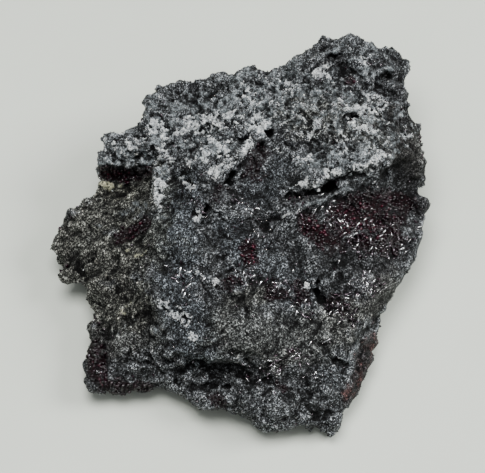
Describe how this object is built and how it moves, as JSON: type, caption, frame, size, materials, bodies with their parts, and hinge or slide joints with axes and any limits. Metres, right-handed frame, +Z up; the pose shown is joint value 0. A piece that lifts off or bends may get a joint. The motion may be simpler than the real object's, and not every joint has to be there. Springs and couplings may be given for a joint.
{
  "type": "mineral specimen",
  "caption": "Rough slab of dark ore with stepped ledges and pits, bearing crusts of small dark red proustite prisms, resting on its flat broken underside.",
  "frame": {"origin": "bottom centre of the specimen's bounding box, on the plane it rests on", "axes": "+Z up, away from the face it rests on; +Y towards the high back edge with the knob; +X towards the side with the large crystal field"},
  "size_m": [0.076, 0.0794, 0.0273],
  "materials": {
    "dark_ore": "rough dark grey ore, granular, with whitish and olive patches",
    "proustite": "very dark red crystals with a bright near-metallic lustre"
  },
  "bodies": {
    "root": {"matrix_rock": "dark_ore", "proustite_crust_right": "proustite", "proustite_crust_middle": "proustite", "proustite_crust_front": "proustite", "proustite_crust_centre": "proustite", "proustite_crust_hollow": "proustite", "proustite_crust_shelf": "proustite", "proustite_crust_foot": "proustite"}
  },
  "joints": []
}
